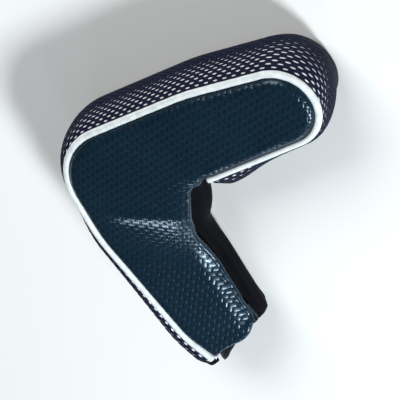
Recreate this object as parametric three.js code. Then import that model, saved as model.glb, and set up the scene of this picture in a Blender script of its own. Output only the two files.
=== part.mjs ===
/**
 * Head cover for a blade putter, lying on its back panel.
 *
 * An L-shaped padded sleeve: the blade pocket runs along +X from heel to toe and the neck, which
 * covers the hosel and the lower shaft, runs along -Y and is open at its end. A front panel and a
 * back panel are joined round the outside by a mesh gusset with a piped seam on each side. Along
 * the inner side of the neck a fly with hook-and-loop tape closes the cover instead.
 *
 * Millimetres, +Z out of the front panel. The origin is on the flat outer face of the back panel,
 * where the centrelines of the blade and the neck cross.
 */
import * as THREE from "three";

// ------------------------------------------------------------------ driving dimensions, mm

// Plan of the piped seam: x, y and the radius of each corner.
const SEAM_CORNERS = [
  [57, -23, 0], // inner corner of the L, where the seam starts
  [134.5, -21.4, 20], // toe, under side
  [132.5, 16.3, 19.5], // toe, top side
  [75, 24, 120], // top edge
  [-13, 24.5, 34], // heel
  [-21, -32, 90], // start of the neck
  [-16.4, -107, 60], // where the neck draws in before its mouth
  [-10.5, -125, 0], // end of the neck
];
// Plan of the free edge, from the end of the seam down the inner side of the neck.
const EDGE_CORNERS = [
  [57, -23, 0],
  [45, -22, 8],
  [23.5, -54, 24],
  [18.8, -113, 0],
];

const BACK_SEAM_Z = 4;
const FRONT_SEAM_Z = 36;
const CROWN = 4; // how far each panel stands out from its seam
const ROLL_RADIUS = 9; // width of the rounded margin beside a seam
const NECK_SLOPE = 0.3; // the neck's front falls this steeply towards its free edge
const EDGE_DROP = 4.5; // the free edge curls down by this much
const EDGE_ROLL = 9; // over this width
const MOUTH_BULGE = 10.5; // how far the mouth bows out past a straight cut
const MOUTH_RETURN = 0.76; // share of the bow that is gone again at the free edge
const BACK_EDGE_INSET = 3.5; // the back stops short of the free edge, beside the band's foot
const BACK_OVERHANG = 4; // the back and the gusset end this far beyond the front

const SHELL = 1.4; // embossed outer cover
const PADDING = 2.4; // foam
const LINING = 1.4; // plush
const GAP = 0.3; // clearance between stacked pieces
const SHELL_INSET = 2.5; // shell edge to seam centreline, beside the piping
const JOINT_GAP = 1; // clearance where a panel divides at a fold
const FOLD_PAST_CORNER = 12.3; // fold line of the front, measured along the free edge
const HEEL_RUN = 40; // of the top edge, between the heel's arc and above the inner corner

const PIPING_RADIUS = 1.9;
const PIPING_BORE = 1.2;
const PIPING_SIDES = 6;
const PIPING_CORD_RADIUS = 0.95;
const PIPING_CORD_SIDES = 5;
const THREAD_SIDES = 4;
const THREAD_RADIUS = 0.28;
const THREAD_INSET = 1.6; // the seam's thread runs beside and under its piping
const THREAD_BELOW_SEAM = 2.9;

const GUSSET_BULGE = 7;
const NECK_SWELL = 4; // extra bulge along the outer side of the neck, full at the mouth
const GUSSET_FLARE = 4; // extra bulge at the loose end by the inner corner
const GUSSET_FLARE_LENGTH = 12;
const GUSSET_SQUARENESS = 2.2; // exponent of the bulge's superellipse section
const MESH = 1.2;
const BACKING = 2.5;
const GUSSET_LINING = 1.5;
const BINDING = 1.2;

const BAND = 1.9; // thickness of the closure band
const BAND_BULGE = 4.8;
const BAND_TUCK = 13; // how far the band reaches in under the front
const BAND_START = 1;
const BAND_FOLD_Y = -60.5; // upper end of the part that folds out
const BAND_OVERHANG = 5; // the band ends this far beyond the front
const BAND_FOOT_OUT = -2.2;
const BAND_FOOT_Z = 4.4;
// The band's section above its foot: share of the bulge, share of the height.
const BAND_SHAPE = [
  [0.2, 0.28],
  [0.75, 0.6],
  [0.65, 0.88],
];
const BAND_TUCK_START = 1;
const BAND_CLEARANCE = 1.6; // under the loop tape
const TAPE = 1.2;

// Tessellation
const ARC_STEP = THREE.MathUtils.degToRad(15);
const LINE_STEP = 27;
const SEAM_SAMPLES = 260;
const EDGE_SAMPLES = 120;
const ACROSS_GUSSET = 7;
// Where a panel is divided, from its outer side (0) to its inner side (1). The stacked layers
// share these lines, so that their facets stay parallel.
const COLUMNS = [0, 0.05, 0.18, 0.36, 0.54, 0.72, 0.93, 1];
const TAPE_COLUMNS = [5, 6];
const TAPE_ROWS = [3, 7]; // of the neck's rows
const STITCH_COLUMNS = [0.7, 0.95]; // just outside the tape
const STITCH_ROWS = [0.36, 0.88]; // along the neck, 0 at the fold and 1 at the mouth

// ------------------------------------------------------------------ plan curves

/** A polyline of straight runs whose corners are rounded by true arcs. */
function roundedPath(corners) {
  const path = new THREE.CurvePath();
  let from = new THREE.Vector2(corners[0][0], corners[0][1]);
  for (let i = 1; i < corners.length - 1; i++) {
    const corner = new THREE.Vector2(corners[i][0], corners[i][1]);
    const next = new THREE.Vector2(corners[i + 1][0], corners[i + 1][1]);
    const radius = corners[i][2];
    const arrive = corner.clone().sub(from).normalize();
    const leave = next.clone().sub(corner).normalize();
    const turn = Math.atan2(arrive.cross(leave), arrive.dot(leave));
    const setback = radius * Math.tan(Math.abs(turn) / 2);
    const start = corner.clone().addScaledVector(arrive, -setback);
    const end = corner.clone().addScaledVector(leave, setback);
    const toCentre = new THREE.Vector2(-arrive.y, arrive.x).multiplyScalar(Math.sign(turn) * radius);
    const centre = start.clone().add(toCentre);
    const angle = Math.atan2(start.y - centre.y, start.x - centre.x);
    path.add(new THREE.LineCurve(from, start));
    path.add(new THREE.EllipseCurve(
      centre.x, centre.y, radius, radius, angle, angle + turn, turn < 0,
    ));
    from = end;
  }
  const last = corners[corners.length - 1];
  path.add(new THREE.LineCurve(from, new THREE.Vector2(last[0], last[1])));
  return path;
}

const SEAM = roundedPath(SEAM_CORNERS);
const EDGE = roundedPath(EDGE_CORNERS);
const SEAM_MARKS = SEAM.getCurveLengths(); // distance to the end of each run and arc
const EDGE_MARKS = EDGE.getCurveLengths();
const SEAM_LENGTH = SEAM.getLength();
const EDGE_LENGTH = EDGE.getLength();
const SEAM_LINE = SEAM.getSpacedPoints(SEAM_SAMPLES);
const EDGE_LINE = EDGE.getSpacedPoints(EDGE_SAMPLES);

/** Point, direction and outward normal at a distance along a plan curve, straight on past its end. */
function placeOn(path, distance) {
  const length = path === SEAM ? SEAM_LENGTH : EDGE_LENGTH;
  const within = THREE.MathUtils.clamp(distance, 0, length);
  const point = path.getPoint(within / length);
  const along = path.getTangent(within / length);
  const outward = new THREE.Vector2(along.y, -along.x);
  if (path === EDGE) {
    outward.negate();
  }
  point.addScaledVector(along, distance - within);
  return { point, along, outward };
}

/** Distances along the seam where sections are made: close on arcs, wide on straight runs. */
function seamStations(end) {
  const stations = [0];
  let start = 0;
  SEAM.curves.forEach((curve, index) => {
    const length = SEAM_MARKS[index] - start;
    const sweep = curve.isEllipseCurve ? length / curve.xRadius : 0;
    const steps = Math.max(1, Math.ceil(Math.max(sweep / ARC_STEP, length / LINE_STEP)));
    for (let step = 1; step <= steps; step++) {
      stations.push(start + (length * step) / steps);
    }
    start = SEAM_MARKS[index];
  });
  stations[stations.length - 1] = end;
  return stations;
}

function distanceTo(line, x, y) {
  const target = new THREE.Vector3(x, y, 0);
  const nearest = new THREE.Vector3();
  const segment = new THREE.Line3();
  let best = Infinity;
  for (let i = 1; i < line.length; i++) {
    segment.start.set(line[i - 1].x, line[i - 1].y, 0);
    segment.end.set(line[i].x, line[i].y, 0);
    segment.closestPointToPoint(target, true, nearest);
    best = Math.min(best, nearest.distanceTo(target));
  }
  return best;
}

// ------------------------------------------------------------------ heights of the two panels

// The front swings about the straight outer side of the neck.
const FLAP_HINGE = { ...placeOn(SEAM, SEAM_MARKS[9]), along: placeOn(SEAM, SEAM_MARKS[9]).along };
const CREASE_POINT = new THREE.Vector2(19.3, -34.1);
const CREASE_NORMAL = new THREE.Vector2(-0.46, -0.888); // points down the neck
const CREASE_BEFORE = 30;
const CREASE_AFTER = 50;

function roll(distance) {
  const short = Math.max(0, 1 - distance / ROLL_RADIUS);
  return Math.sqrt(1 - short * short);
}

function frontHeight(x, y) {
  const fromHinge = new THREE.Vector2(x, y).sub(FLAP_HINGE.point);
  const across = Math.max(0, -fromHinge.cross(FLAP_HINGE.along));
  const pastCrease = new THREE.Vector2(x, y).sub(CREASE_POINT).dot(CREASE_NORMAL);
  const fold = THREE.MathUtils.smoothstep(pastCrease, -CREASE_BEFORE, CREASE_AFTER);
  const curl = Math.max(0, 1 - distanceTo(EDGE_LINE, x, y) / EDGE_ROLL);
  const crown = CROWN * roll(distanceTo(SEAM_LINE, x, y));
  return FRONT_SEAM_Z + crown - NECK_SLOPE * across * fold - EDGE_DROP * curl * curl;
}

function backHeight(x, y) {
  const margin = Math.min(distanceTo(SEAM_LINE, x, y), distanceTo(EDGE_LINE, x, y));
  return BACK_SEAM_Z - CROWN * roll(margin);
}

// ------------------------------------------------------------------ closed solids

/** Collects triangles over merged points and returns them as one closed geometry. */
class Skin {
  constructor() {
    this.positions = [];
    this.indices = [];
    this.known = new Map();
  }

  vertex(point) {
    const key = point.toArray().map((value) => Math.round(value * 1e4)).join();
    if (!this.known.has(key)) {
      this.known.set(key, this.positions.length / 3);
      this.positions.push(point.x, point.y, point.z);
    }
    return this.known.get(key);
  }

  triangle(a, b, c) {
    const corners = [this.vertex(a), this.vertex(b), this.vertex(c)];
    if (new Set(corners).size === 3) {
      this.indices.push(...corners);
    }
  }

  quad(a, b, c, d) {
    this.triangle(a, b, c);
    this.triangle(a, c, d);
  }

  geometry() {
    const geometry = new THREE.BufferGeometry();
    geometry.setAttribute("position", new THREE.Float32BufferAttribute(this.positions, 3));
    geometry.setIndex(this.volume() < 0 ? this.indices.reverse() : this.indices);
    geometry.computeVertexNormals();
    return geometry;
  }

  volume() {
    const corner = (index) => new THREE.Vector3().fromArray(this.positions, 3 * index);
    let total = 0;
    for (let i = 0; i < this.indices.length; i += 3) {
      const [a, b, c] = this.indices.slice(i, i + 3).map(corner);
      total += a.dot(b.cross(c)) / 6;
    }
    return total;
  }
}

/**
 * The solid between two grids of points that match row by row. A grid that wraps closes on itself
 * across each row, so it makes a tube wall.
 */
function solidBetween(outer, inner, wraps = false) {
  const skin = new Skin();
  const rows = outer.length;
  const columns = outer[0].length;
  const last = wraps ? columns : columns - 1;
  for (let i = 0; i < rows - 1; i++) {
    for (let j = 0; j < last; j++) {
      const k = (j + 1) % columns;
      skin.quad(outer[i][j], outer[i + 1][j], outer[i + 1][k], outer[i][k]);
      skin.triangle(inner[i][j], inner[i + 1][k], inner[i + 1][j]);
      skin.triangle(inner[i][j], inner[i][k], inner[i + 1][k]);
    }
    if (!wraps) {
      skin.quad(outer[i + 1][0], outer[i][0], inner[i][0], inner[i + 1][0]);
      skin.quad(outer[i][last], outer[i + 1][last], inner[i + 1][last], inner[i][last]);
    }
  }
  for (let j = 0; j < last; j++) {
    const k = (j + 1) % columns;
    const end = rows - 1;
    skin.quad(outer[0][j], outer[0][k], inner[0][k], inner[0][j]);
    skin.quad(outer[end][k], outer[end][j], inner[end][j], inner[end][k]);
  }
  return skin.geometry();
}

/** A curve that is sampled only at its own list of points, so a sweep keeps them all. */
class StationCurve extends THREE.Curve {
  constructor(points) {
    super();
    this.points = points;
  }

  index(t) {
    return Math.round(t * (this.points.length - 1));
  }

  getPoint(t) {
    return this.points[this.index(t)].clone();
  }

  getPointAt(t) {
    return this.getPoint(t);
  }

  getTangentAt(t) {
    const index = this.index(t);
    const before = this.points[Math.max(0, index - 1)];
    const after = this.points[Math.min(this.points.length - 1, index + 1)];
    return after.clone().sub(before).normalize();
  }
}

/** A solid round cord along a list of points. */
function cordAlong(points, radius, sides) {
  const section = new THREE.Shape();
  for (let side = 0; side < sides; side++) {
    const angle = (2 * Math.PI * side) / sides;
    const x = radius * Math.cos(angle);
    const y = radius * Math.sin(angle);
    if (side === 0) {
      section.moveTo(x, y);
    } else {
      section.lineTo(x, y);
    }
  }
  return new THREE.ExtrudeGeometry(section, {
    steps: points.length - 1,
    extrudePath: new StationCurve(points),
    bevelEnabled: false,
  });
}

const cover = new THREE.Group();
const FINISHES = {
  shell: new THREE.MeshStandardMaterial({ color: 0x192b3a, roughness: 0.5, metalness: 0 }),
  foam: new THREE.MeshStandardMaterial({ color: 0xd8d6cc, roughness: 0.95, metalness: 0 }),
  plush: new THREE.MeshStandardMaterial({ color: 0x14171c, roughness: 1, metalness: 0 }),
  piping: new THREE.MeshStandardMaterial({ color: 0xe9eeec, roughness: 0.45, metalness: 0 }),
  mesh: new THREE.MeshStandardMaterial({ color: 0x1c2430, roughness: 0.7, metalness: 0 }),
  backing: new THREE.MeshStandardMaterial({ color: 0xe6e8ec, roughness: 0.9, metalness: 0 }),
  band: new THREE.MeshStandardMaterial({ color: 0x0b1119, roughness: 0.85, metalness: 0 }),
  tape: new THREE.MeshStandardMaterial({ color: 0x0d0e11, roughness: 0.8, metalness: 0 }),
  thread: new THREE.MeshStandardMaterial({ color: 0x1b2632, roughness: 0.6, metalness: 0 }),
};

function piece(name, geometry, finish) {
  const mesh = new THREE.Mesh(geometry, FINISHES[finish]);
  mesh.name = name;
  cover.add(mesh);
}

// ------------------------------------------------------------------ front and back panels

const TOE_TIP = (SEAM_MARKS[1] + SEAM_MARKS[2]) / 2;
const TOP_ABOVE_CORNER = SEAM_MARKS[6] - HEEL_RUN; // across from the inner corner
const FOLD_ON_EDGE = EDGE_MARKS[1] + FOLD_PAST_CORNER;

// Each span pairs a stretch of the outer side with one of the inner side, in plan distances.
const BLADE_SPANS = [
  { outer: [TOE_TIP, SEAM_MARKS[3]], seam: [TOE_TIP, SEAM_MARKS[0]], steps: 6 },
  { outer: [SEAM_MARKS[3], TOP_ABOVE_CORNER], seam: [SEAM_MARKS[0], 0], steps: 4 },
  { outer: [TOP_ABOVE_CORNER, SEAM_MARKS[6]], edge: [0, EDGE_MARKS[0]], steps: 3 },
  { outer: [SEAM_MARKS[6], SEAM_MARKS[7]], edge: [EDGE_MARKS[0], EDGE_MARKS[1]], steps: 5 },
  { outer: [SEAM_MARKS[7], SEAM_MARKS[9]], edge: [EDGE_MARKS[1], FOLD_ON_EDGE], steps: 4 },
];
const NECK_SPAN = {
  outer: [SEAM_MARKS[9], SEAM_LENGTH],
  edge: [FOLD_ON_EDGE, EDGE_LENGTH],
  steps: 8,
  isNeck: true,
};

/** Shortens a span by half a joint gap at its start or its end. */
function trimmed(span, startGap, endGap) {
  const [outerStart, outerEnd] = span.outer;
  const [edgeStart, edgeEnd] = span.edge;
  return {
    ...span,
    outer: [outerStart + startGap, outerEnd - endGap],
    edge: [edgeStart + startGap, edgeEnd - endGap],
  };
}

/** A plan point of the L: progress runs along a span, across runs from its outer to its inner side. */
function planPoint(span, progress, across, insets) {
  const outer = placeOn(SEAM, THREE.MathUtils.lerp(...span.outer, progress));
  const inner = span.seam
    ? placeOn(SEAM, THREE.MathUtils.lerp(...span.seam, progress))
    : placeOn(EDGE, THREE.MathUtils.lerp(...span.edge, progress));
  const leavesSeam = span.edge && span.edge[0] === 0;
  const towardsEdge = leavesSeam ? progress : 1;
  const innerInset = span.seam
    ? SHELL_INSET
    : THREE.MathUtils.lerp(SHELL_INSET, insets.edge, towardsEdge);
  outer.point.addScaledVector(outer.outward, -SHELL_INSET);
  inner.point.addScaledVector(inner.outward, -innerInset);
  const bow = MOUTH_BULGE * (across - MOUTH_RETURN * across ** 4) + insets.overhang;
  const towardsMouth = span.isNeck ? progress * progress : 0;
  return outer.point.lerp(inner.point, across).addScaledVector(FLAP_HINGE.along, bow * towardsMouth);
}

/** Rows of plan points from the toe to the mouth. */
function planRows(spans, insets) {
  return spans.flatMap((span, number) => {
    const steps = Array.from({ length: span.steps + 1 }, (_, step) => step / span.steps);
    const fresh = number === 0 ? steps : steps.slice(1);
    return fresh.map((progress) => COLUMNS.map((across) => planPoint(span, progress, across, insets)));
  });
}

function lift(rows, height, offset) {
  return rows.map((row) => row.map((p) => new THREE.Vector3(p.x, p.y, height(p.x, p.y) + offset)));
}

function panelLayer(rows, height, outerOffset, innerOffset) {
  return solidBetween(lift(rows, height, outerOffset), lift(rows, height, innerOffset));
}

const FRONT_INSETS = { edge: 0, overhang: 0 };
const BACK_INSETS = { edge: BACK_EDGE_INSET, overhang: BACK_OVERHANG };
const FRONT_NECK = trimmed(NECK_SPAN, JOINT_GAP / 2, 0);
const lastBladeSpan = BLADE_SPANS.length - 1;
const frontBladeSpans = [
  ...BLADE_SPANS.slice(0, lastBladeSpan),
  trimmed(BLADE_SPANS[lastBladeSpan], 0, JOINT_GAP / 2),
];
const bladeRows = planRows(frontBladeSpans, FRONT_INSETS);
const neckRows = planRows([FRONT_NECK], FRONT_INSETS);
const backRows = planRows([...BLADE_SPANS, NECK_SPAN], BACK_INSETS);

/** The rows without their outermost points, for a layer that stops short of the seam. */
function pulledIn(rows) {
  return rows.map((row) => row.slice(1, -1));
}

const PADDING_DEPTH = SHELL + GAP;
const LINING_DEPTH = PADDING_DEPTH + PADDING + GAP;
const STACK = LINING_DEPTH + LINING;
const LAYERS = [
  { word: "padding", depth: PADDING_DEPTH, bottom: PADDING_DEPTH + PADDING, finish: "foam" },
  { word: "lining", depth: LINING_DEPTH, bottom: STACK, finish: "plush" },
];

piece("front_panel_blade", panelLayer(bladeRows, frontHeight, 0, -SHELL), "shell");
piece("front_panel_neck", panelLayer(neckRows, frontHeight, 0, -SHELL), "shell");
piece("back_panel", panelLayer(backRows, backHeight, 0, SHELL), "shell");
for (const { word, depth, bottom, finish } of LAYERS) {
  const innerBlade = pulledIn(bladeRows.slice(1));
  const innerNeck = pulledIn(neckRows);
  const innerBack = pulledIn(backRows.slice(1));
  piece(`front_${word}_blade`, panelLayer(innerBlade, frontHeight, -depth, -bottom), finish);
  piece(`front_${word}_neck`, panelLayer(innerNeck, frontHeight, -depth, -bottom), finish);
  piece(`back_${word}`, panelLayer(innerBack, backHeight, depth, bottom), finish);
}

// ------------------------------------------------------------------ mesh gusset

const GUSSET_MIDDLE_Z = (BACK_SEAM_Z + FRONT_SEAM_Z) / 2;
const GUSSET_HALF = (FRONT_SEAM_Z - BACK_SEAM_Z) / 2 - PIPING_RADIUS - GAP;
const GUSSET_END = SEAM_LENGTH + BACK_OVERHANG;
const GUSSET_STATIONS = seamStations(GUSSET_END);

/** One surface of the gusset, a given depth inside its outer face. */
function gussetGrid(stations, depth) {
  const exponent = 2 / GUSSET_SQUARENESS;
  return stations.map((distance) => {
    const { point, outward } = placeOn(SEAM, distance);
    const flare = GUSSET_FLARE * Math.exp(-((distance / GUSSET_FLARE_LENGTH) ** 2));
    const alongNeck = (distance - SEAM_MARKS[7]) / (SEAM_LENGTH - SEAM_MARKS[7]);
    const swell = NECK_SWELL * THREE.MathUtils.clamp(alongNeck, 0, 1);
    const reach = GUSSET_BULGE + flare + swell - depth;
    const row = [];
    for (let j = 0; j <= ACROSS_GUSSET; j++) {
      const angle = Math.PI * (j / ACROSS_GUSSET - 0.5);
      const bulge = reach * Math.max(0, Math.cos(angle)) ** exponent;
      const rise = (GUSSET_HALF - depth) * Math.sign(angle) * Math.abs(Math.sin(angle)) ** exponent;
      row.push(new THREE.Vector3(
        point.x + outward.x * bulge,
        point.y + outward.y * bulge,
        GUSSET_MIDDLE_Z + rise,
      ));
    }
    return row;
  });
}

function gussetLayer(stations, depth, thickness) {
  return solidBetween(gussetGrid(stations, depth), gussetGrid(stations, depth + thickness));
}

const BACKING_DEPTH = MESH + GAP;
const GUSSET_LINING_DEPTH = BACKING_DEPTH + BACKING + GAP;
piece("gusset_mesh", gussetLayer(GUSSET_STATIONS, 0, MESH), "mesh");
piece("gusset_backing", gussetLayer(GUSSET_STATIONS, BACKING_DEPTH, BACKING), "backing");
piece("gusset_lining", gussetLayer(GUSSET_STATIONS, GUSSET_LINING_DEPTH, GUSSET_LINING), "plush");

const bindingStations = [GUSSET_END + GAP, GUSSET_END + GAP + BINDING];
piece("gusset_mouth_binding",
  gussetLayer(bindingStations, 0, GUSSET_LINING_DEPTH + GUSSET_LINING), "band");

const mouthRow = backRows[backRows.length - 1];
const bindingRows = [GAP, GAP + BINDING].map((shift) =>
  mouthRow.slice(0, -1).map((p) => p.clone().addScaledVector(FLAP_HINGE.along, shift)));
piece("back_mouth_binding", panelLayer(bindingRows, backHeight, GAP, STACK - GAP), "band");

// ------------------------------------------------------------------ piping and seam threads

function seamPoints(end, inset, z) {
  return seamStations(end).map((distance) => {
    const { point, outward } = placeOn(SEAM, distance);
    return new THREE.Vector3(point.x - outward.x * inset, point.y - outward.y * inset, z);
  });
}

/** Rings of points round the seam, for the wall of the piping. */
function pipingRings(end, z, radius, sides) {
  return seamStations(end).map((distance) => {
    const { point, outward } = placeOn(SEAM, distance);
    const ring = [];
    for (let side = 0; side < sides; side++) {
      const angle = (2 * Math.PI * side) / sides;
      const out = radius * Math.cos(angle);
      const up = radius * Math.sin(angle);
      ring.push(new THREE.Vector3(point.x + outward.x * out, point.y + outward.y * out, z + up));
    }
    return ring;
  });
}

const SEAMS = [
  { side: "front", z: FRONT_SEAM_Z, inward: -1, end: SEAM_LENGTH },
  { side: "back", z: BACK_SEAM_Z, inward: 1, end: GUSSET_END },
];
for (const { side, z, inward, end } of SEAMS) {
  const sleeve = solidBetween(
    pipingRings(end, z, PIPING_RADIUS, PIPING_SIDES),
    pipingRings(end, z, PIPING_BORE, PIPING_SIDES),
    true,
  );
  piece(`${side}_piping`, sleeve, "piping");
  const filler = cordAlong(seamPoints(end, 0, z), PIPING_CORD_RADIUS, PIPING_CORD_SIDES);
  piece(`${side}_piping_cord`, filler, "piping");
  const threadZ = z + inward * THREAD_BELOW_SEAM;
  piece(`${side}_seam_thread`,
    cordAlong(seamPoints(end, THREAD_INSET, threadZ), THREAD_RADIUS, THREAD_SIDES), "thread");
}

// ------------------------------------------------------------------ hook-and-loop closure

const TAPE_ON_FRONT = STACK + GAP;
const TAPE_ON_BAND = TAPE_ON_FRONT + TAPE + GAP;
const BAND_TOP = TAPE_ON_BAND + TAPE + BAND_CLEARANCE; // below the front's outer face

function edgePoint(distance, inset) {
  const { point, outward } = placeOn(EDGE, distance);
  return point.addScaledVector(outward, -inset);
}

/** Centreline of the band's section: out from the foot, up, then in under the front. */
function bandSection(distance) {
  const tuck = [BAND_TUCK_START, BAND_TUCK / 2, BAND_TUCK].map((inset) => {
    const p = edgePoint(distance, inset);
    return [-inset, frontHeight(p.x, p.y) - BAND_TOP - BAND / 2];
  });
  const height = tuck[0][1] - BAND_FOOT_Z;
  return [
    [BAND_FOOT_OUT, BAND_FOOT_Z],
    ...BAND_SHAPE.map(([out, up]) => [BAND_BULGE * out, BAND_FOOT_Z + height * up]),
    ...tuck,
  ].map(([out, z]) => new THREE.Vector2(out, z));
}

/** The band's section moved sideways along its own normals. */
function offsetSection(section, offset) {
  return section.map((p, index) => {
    const before = section[Math.max(0, index - 1)];
    const after = section[Math.min(section.length - 1, index + 1)];
    const along = after.clone().sub(before).normalize();
    return new THREE.Vector2(p.x + along.y * offset, p.y - along.x * offset);
  });
}

function bandGrid(distances, offset) {
  return distances.map((distance) => {
    const { point, outward } = placeOn(EDGE, distance);
    return offsetSection(bandSection(distance), offset).map((p) => new THREE.Vector3(
      point.x + outward.x * p.x,
      point.y + outward.y * p.x,
      p.y,
    ));
  });
}

function spaced(start, end, steps) {
  return Array.from({ length: steps + 1 }, (_, i) => start + ((end - start) * i) / steps);
}

const edgeEnd = placeOn(EDGE, EDGE_LENGTH);
const BAND_FOLD = EDGE_LENGTH - (BAND_FOLD_Y - edgeEnd.point.y) / -edgeEnd.along.y;
const anchorStations = [
  ...spaced(BAND_START, EDGE_MARKS[0], 2),
  ...spaced(EDGE_MARKS[0], EDGE_MARKS[1], 4).slice(1),
  ...spaced(EDGE_MARKS[1], EDGE_MARKS[2], 3).slice(1),
  ...spaced(EDGE_MARKS[2], EDGE_MARKS[3], 2).slice(1),
  BAND_FOLD - JOINT_GAP / 2,
];
const bandStations = spaced(BAND_FOLD + JOINT_GAP / 2, EDGE_LENGTH + BAND_OVERHANG, 4);
piece("closure_band_anchor",
  solidBetween(bandGrid(anchorStations, BAND / 2), bandGrid(anchorStations, -BAND / 2)), "band");
piece("closure_band",
  solidBetween(bandGrid(bandStations, BAND / 2), bandGrid(bandStations, -BAND / 2)), "band");

function tape(depth) {
  const rows = neckRows
    .slice(TAPE_ROWS[0], TAPE_ROWS[1] + 1)
    .map((row) => row.slice(TAPE_COLUMNS[0], TAPE_COLUMNS[1] + 1));
  return panelLayer(rows, frontHeight, -depth, -(depth + TAPE));
}

/** A line of stitching round three sides of a tape. */
function tapeThread(depth) {
  const [top, bottom] = STITCH_ROWS;
  const [far, near] = STITCH_COLUMNS;
  const route = [
    ...spaced(bottom, top, 4).map((progress) => [progress, near]),
    ...spaced(near, far, 3).slice(1, -1).map((across) => [top, across]),
    ...spaced(top, bottom, 4).map((progress) => [progress, far]),
  ];
  const points = route.map(([progress, across]) => {
    const p = planPoint(FRONT_NECK, progress, across, FRONT_INSETS);
    return new THREE.Vector3(p.x, p.y, frontHeight(p.x, p.y) - depth);
  });
  return cordAlong(points, THREAD_RADIUS, THREAD_SIDES);
}

piece("hook_tape", tape(TAPE_ON_FRONT), "tape");
piece("hook_tape_thread", tapeThread(TAPE_ON_FRONT + TAPE / 2), "thread");
piece("loop_tape", tape(TAPE_ON_BAND), "tape");
piece("loop_tape_thread", tapeThread(TAPE_ON_BAND + TAPE / 2), "thread");

export default cover;
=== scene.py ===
import math

import bmesh
import bpy
import numpy as np
from mathutils import Matrix, Vector


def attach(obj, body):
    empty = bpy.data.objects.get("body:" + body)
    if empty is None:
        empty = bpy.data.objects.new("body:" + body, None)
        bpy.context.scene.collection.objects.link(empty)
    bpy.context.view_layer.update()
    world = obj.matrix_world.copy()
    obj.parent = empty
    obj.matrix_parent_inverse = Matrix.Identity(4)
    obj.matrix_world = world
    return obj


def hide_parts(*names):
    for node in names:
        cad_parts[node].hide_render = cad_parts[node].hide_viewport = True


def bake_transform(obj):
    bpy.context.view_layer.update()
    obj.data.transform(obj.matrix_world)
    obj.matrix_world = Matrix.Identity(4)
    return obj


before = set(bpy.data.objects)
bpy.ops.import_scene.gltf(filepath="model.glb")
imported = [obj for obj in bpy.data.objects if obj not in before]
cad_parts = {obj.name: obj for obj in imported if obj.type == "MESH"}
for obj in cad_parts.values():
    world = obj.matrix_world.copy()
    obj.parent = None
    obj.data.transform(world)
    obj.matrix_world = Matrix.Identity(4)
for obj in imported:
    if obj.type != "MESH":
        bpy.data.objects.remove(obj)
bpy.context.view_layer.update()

MM = 0.001

# ------------------------------------------------------------------ the cover's shape, mm
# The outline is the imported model's; the surfaces are finer and softer. +Z is out of the front
# panel, +X from heel to toe, and -Y down the neck to its mouth.

# Plan corners, each with the radius that rounds it. The seam, which the piping follows, runs from
# the inner corner round the toe and the heel to the mouth. The free edge runs down the inner side.
SEAM_CORNERS = [
    (57, -23, 0), (134.5, -21.4, 20), (132.5, 16.3, 19.5), (75, 24, 120),
    (-13, 24.5, 34), (-21, -32, 90), (-16.4, -107, 60), (-10.5, -125, 0),
]
EDGE_CORNERS = [(57, -23, 0), (45, -22, 8), (23.5, -54, 24), (18.8, -113, 0)]
BACK_SEAM_Z = 4.0
FRONT_SEAM_Z = 36.0
SEAM_TUCK = 1.6  # where a panel dips under its piping
CROWN = 4.0  # how far a panel rises above its seam
ROLL_RADIUS = 6.5  # within this distance of the seam
BACK_EDGE_INSET = 3.2
BACK_OVERHANG = 4.0

# The neck's front falls away from its outer seam, past a crease across the inner corner.
NECK_SLOPE = 0.3
CREASE_POINT = (19.3, -34.1)
CREASE_NORMAL = (-0.46, -0.888)  # in plan, down the neck
CREASE_SPAN = (-12, 40)  # where the fall starts and where it is complete, past the crease
RIDGE = 1.25  # height of the soft ridge along the crease
RIDGE_AT = -2.0
RIDGE_WIDTH = 4.6
RIDGE_FADE = (9, 24)  # it rises over these distances from the seam
EDGE_DROP = 2.7  # the free edge curls down by this much
EDGE_ROLL = 7.0  # over this width
BLADE_CURL = 0.5  # share of the curl that is left before the crease

# The mouth bows out, most beyond its middle. The front cover's is cut back on the outer half.
MOUTH_BULGE = 10.5
MOUTH_RETURN = 0.76
MOUTH_CUT = 3.5
MOUTH_CUT_AT = 0.32  # share of the way across
MOUTH_CUT_WIDTH = 0.38
MOUTH_CUT_RUN = 20.0

PIPING_RADIUS = 1.85

# The gusset bulges out all round, more or less at the places named here.
GUSSET_BULGE = 7.0
GUSSET_SQUARENESS = 2.15  # 2 is an ellipse, more is boxier
NECK_SQUARENESS = 4.2
HEEL_SWELL = 0.8
NECK_SWELL = 5.6  # reached at the mouth
NECK_SWELL_POWER = 1.7
MOUTH_ROUNDING = 4.0  # taken off again at the very end
MOUTH_ROUNDING_RUN = 9.0
GUSSET_FLARE = 5.6  # of the loose end by the inner corner
GUSSET_FLARE_AT = 6.5
GUSSET_FLARE_START = 6.0  # how far it takes to fade, before that place
GUSSET_FLARE_END = 20.0  # and after it
TOE_TRIM = 4.0  # flatter, where the toe turns to the underside
TOE_TRIM_AT = 78.0
TOE_TRIM_RUN = 13.0

STRAND = 2.56  # width of one row of embossed cells
WEAVE_ANGLE = math.radians(-37)  # of the rows, in plan
ROW_DEPTH = 0.4  # of the grooves between rows, as a share of those between cells
HOLE_PITCH = 5.1  # of the sports mesh, along the gusset
HOLE_ROW = 1.85  # from one row of holes to the next


def smoothstep(x, low, high):
    """0 below low and 1 above high, with an even S between them."""
    t = np.clip((x - low) / (high - low), 0, 1)
    return t * t * (3 - 2 * t)


# ------------------------------------------------------------------ plan curves

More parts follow.
